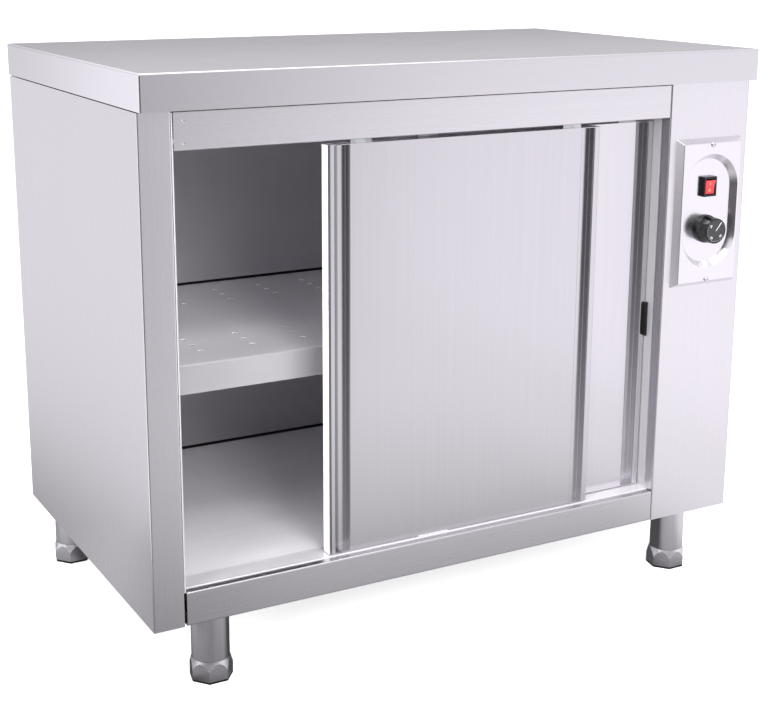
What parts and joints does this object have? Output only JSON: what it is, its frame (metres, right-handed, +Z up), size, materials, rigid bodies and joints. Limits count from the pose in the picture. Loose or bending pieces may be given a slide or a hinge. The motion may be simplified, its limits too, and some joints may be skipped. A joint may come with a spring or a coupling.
{
  "type": "plate warmer cabinet",
  "caption": "Free-standing heated plate cabinet in stainless steel with sliding doors, an inner shelf, a control column and adjustable feet.",
  "frame": {"origin": "on the floor, under the middle of the cabinet", "axes": "+X to the right and +Y to the back for someone who stands in front of the doors, +Z up"},
  "size_m": [1, 0.626, 0.85],
  "materials": {
    "stainless": "satin brushed stainless steel",
    "galvanised": "galvanised sheet, matt grey",
    "board": "raw board",
    "mineral_wool": "matt yellow-brown wool slab",
    "bright_screws": "bright plated",
    "black_rubber": "matt black",
    "white_nylon": "smooth white nylon",
    "black_gloss": "glossy black",
    "red_gloss": "glossy red",
    "black_matte": "matt black",
    "white_matte": "matt white",
    "motor_enamel": "dark grey enamel",
    "fan_aluminium": "mill finish",
    "element_sheath": "dark heat-tinted steel",
    "control_metal": "plain nickel plated"
  },
  "bodies": {
    "cabinet": {"worktop": "stainless", "worktop_board": "board", "worktop_channels": "galvanised", "side_panel_left": "stainless", "side_panel_right": "stainless", "back_panel": "galvanised", "back_screws": "bright_screws", "bottom_pan": "galvanised", "header": "stainless", "bottom_rail": "stainless", "column_front": "stainless", "deck": "stainless", "inner_left_wall": "stainless", "inner_back_wall": "stainless", "inner_roof": "stainless", "column_inner_wall": "stainless", "left_insulation": "mineral_wool", "back_insulation": "mineral_wool", "roof_insulation": "mineral_wool", "floor_insulation": "mineral_wool", "shelf": "stainless", "shelf_brackets": "stainless", "top_track": "stainless", "floor_guide": "white_nylon", "door_stops": "black_rubber", "control_plate": "stainless", "plate_screws": "bright_screws", "switch_body": "black_gloss", "thermostat": "control_metal", "heater_duct": "galvanised", "air_grilles": "stainless", "fan_motor": "motor_enamel", "heating_element": "element_sheath", "terminal_block": "white_matte", "cable_gland": "black_matte", "leg_tubes": "stainless"},
    "outer_door": {"outer_door_skin": "stainless", "outer_door_core": "mineral_wool", "outer_door_back": "stainless", "outer_door_hangers": "galvanised"},
    "rear_door": {"rear_door_skin": "stainless", "rear_door_core": "mineral_wool", "rear_door_back": "stainless", "rear_door_hangers": "galvanised"},
    "outer_left_wheel": {"outer_wheel_left": "white_nylon"},
    "outer_right_wheel": {"outer_wheel_right": "white_nylon"},
    "rear_left_wheel": {"rear_wheel_left": "white_nylon"},
    "rear_right_wheel": {"rear_wheel_right": "white_nylon"},
    "rocker": {"switch_rocker": "red_gloss"},
    "thermostat_knob": {"knob": "black_gloss", "thermostat_spindle": "control_metal"},
    "fan": {"fan_wheel": "fan_aluminium"},
    "front_left_foot": {"foot_front_left": "stainless", "foot_pad_front_left": "black_rubber"},
    "front_right_foot": {"foot_front_right": "stainless", "foot_pad_front_right": "black_rubber"},
    "rear_left_foot": {"foot_rear_left": "stainless", "foot_pad_rear_left": "black_rubber"},
    "rear_right_foot": {"foot_rear_right": "stainless", "foot_pad_rear_right": "black_rubber"}
  },
  "joints": [
    {"name": "outer_door_slide", "type": "slide", "parent": "cabinet", "child": "outer_door", "axis": [1, 0, 0], "range_m": [-0.2187, 0.1127]},
    {"name": "rear_door_slide", "type": "slide", "parent": "cabinet", "child": "rear_door", "axis": [1, 0, 0], "range_m": [-0.3362, 0]},
    {"name": "outer_left_wheel_spin", "type": "hinge", "parent": "outer_door", "child": "outer_left_wheel", "pos_m": [-0.1755, -0.2613, 0.7763], "axis": [0, 1, 0], "range_deg": [-1044.3, 538.2]},
    {"name": "outer_right_wheel_spin", "type": "hinge", "parent": "outer_door", "child": "outer_right_wheel", "pos_m": [0.1755, -0.2613, 0.7763], "axis": [0, 1, 0], "range_deg": [-1044.3, 538.2]},
    {"name": "rear_left_wheel_spin", "type": "hinge", "parent": "rear_door", "child": "rear_left_wheel", "pos_m": [-0.058, -0.2403, 0.7763], "axis": [0, 1, 0], "range_deg": [-1605.3, 0]},
    {"name": "rear_right_wheel_spin", "type": "hinge", "parent": "rear_door", "child": "rear_right_wheel", "pos_m": [0.293, -0.2403, 0.7763], "axis": [0, 1, 0], "range_deg": [-1605.3, 0]},
    {"name": "rocker_tilt", "type": "hinge", "parent": "cabinet", "child": "rocker", "pos_m": [0.4222, -0.29, 0.641], "axis": [1, 0, 0], "range_deg": [-16, 0]},
    {"name": "knob_turn", "type": "hinge", "parent": "cabinet", "child": "thermostat_knob", "pos_m": [0.4222, -0.3, 0.574], "axis": [0, 1, 0], "range_deg": [-39, 231]},
    {"name": "fan_spin", "type": "hinge", "parent": "cabinet", "child": "fan", "pos_m": [0.4, 0.055, 0.54], "axis": [1, 0, 0], "continuous": true},
    {"name": "front_left_foot_height", "type": "slide", "parent": "cabinet", "child": "front_left_foot", "axis": [0, 0, 1], "range_m": [-0.025, 0]},
    {"name": "front_right_foot_height", "type": "slide", "parent": "cabinet", "child": "front_right_foot", "axis": [0, 0, 1], "range_m": [-0.025, 0]},
    {"name": "rear_left_foot_height", "type": "slide", "parent": "cabinet", "child": "rear_left_foot", "axis": [0, 0, 1], "range_m": [-0.025, 0]},
    {"name": "rear_right_foot_height", "type": "slide", "parent": "cabinet", "child": "rear_right_foot", "axis": [0, 0, 1], "range_m": [-0.025, 0]}
  ],
  "couplings": [
    {"joint": "outer_left_wheel_spin", "follows": "outer_door_slide", "rad_per_m": 83.333},
    {"joint": "outer_right_wheel_spin", "follows": "outer_door_slide", "rad_per_m": 83.333},
    {"joint": "rear_left_wheel_spin", "follows": "rear_door_slide", "rad_per_m": 83.333},
    {"joint": "rear_right_wheel_spin", "follows": "rear_door_slide", "rad_per_m": 83.333}
  ]
}
